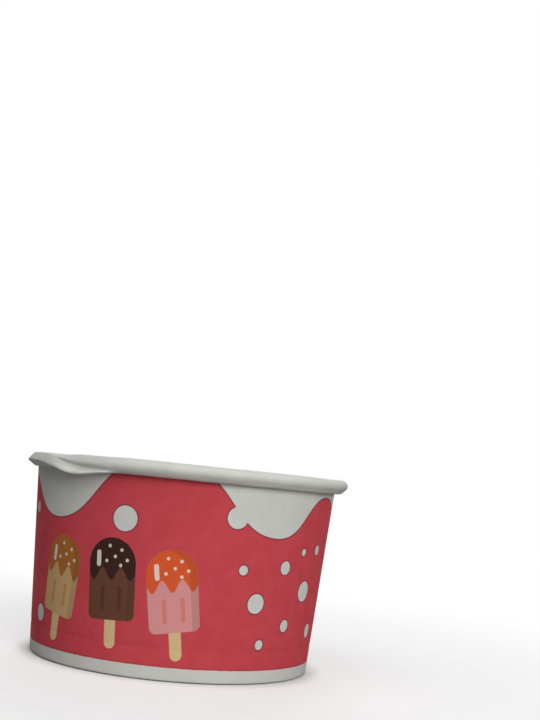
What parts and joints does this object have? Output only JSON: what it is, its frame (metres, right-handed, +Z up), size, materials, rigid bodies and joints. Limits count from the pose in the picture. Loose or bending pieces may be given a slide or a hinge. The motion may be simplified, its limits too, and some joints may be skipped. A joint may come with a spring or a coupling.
{
  "type": "paper ice-cream cup",
  "caption": "Tapered paperboard cup with a rolled rim, a lapped side seam and a recessed base disc held in a ribbed foot; holds a portion of food or drink.",
  "frame": {"origin": "middle of the foot, on the surface that the cup stands on", "axes": "+Z up along the cup's axis, -Y out of the printed front, +X to the right of someone facing the front"},
  "size_m": [0.089, 0.09, 0.0522],
  "materials": {
    "printed_board": "coated, printed red and white outside, white inside",
    "plain_board": "coated, plain white"
  },
  "bodies": {
    "root": {"sidewall": "printed_board", "base_disc": "plain_board"}
  },
  "joints": []
}
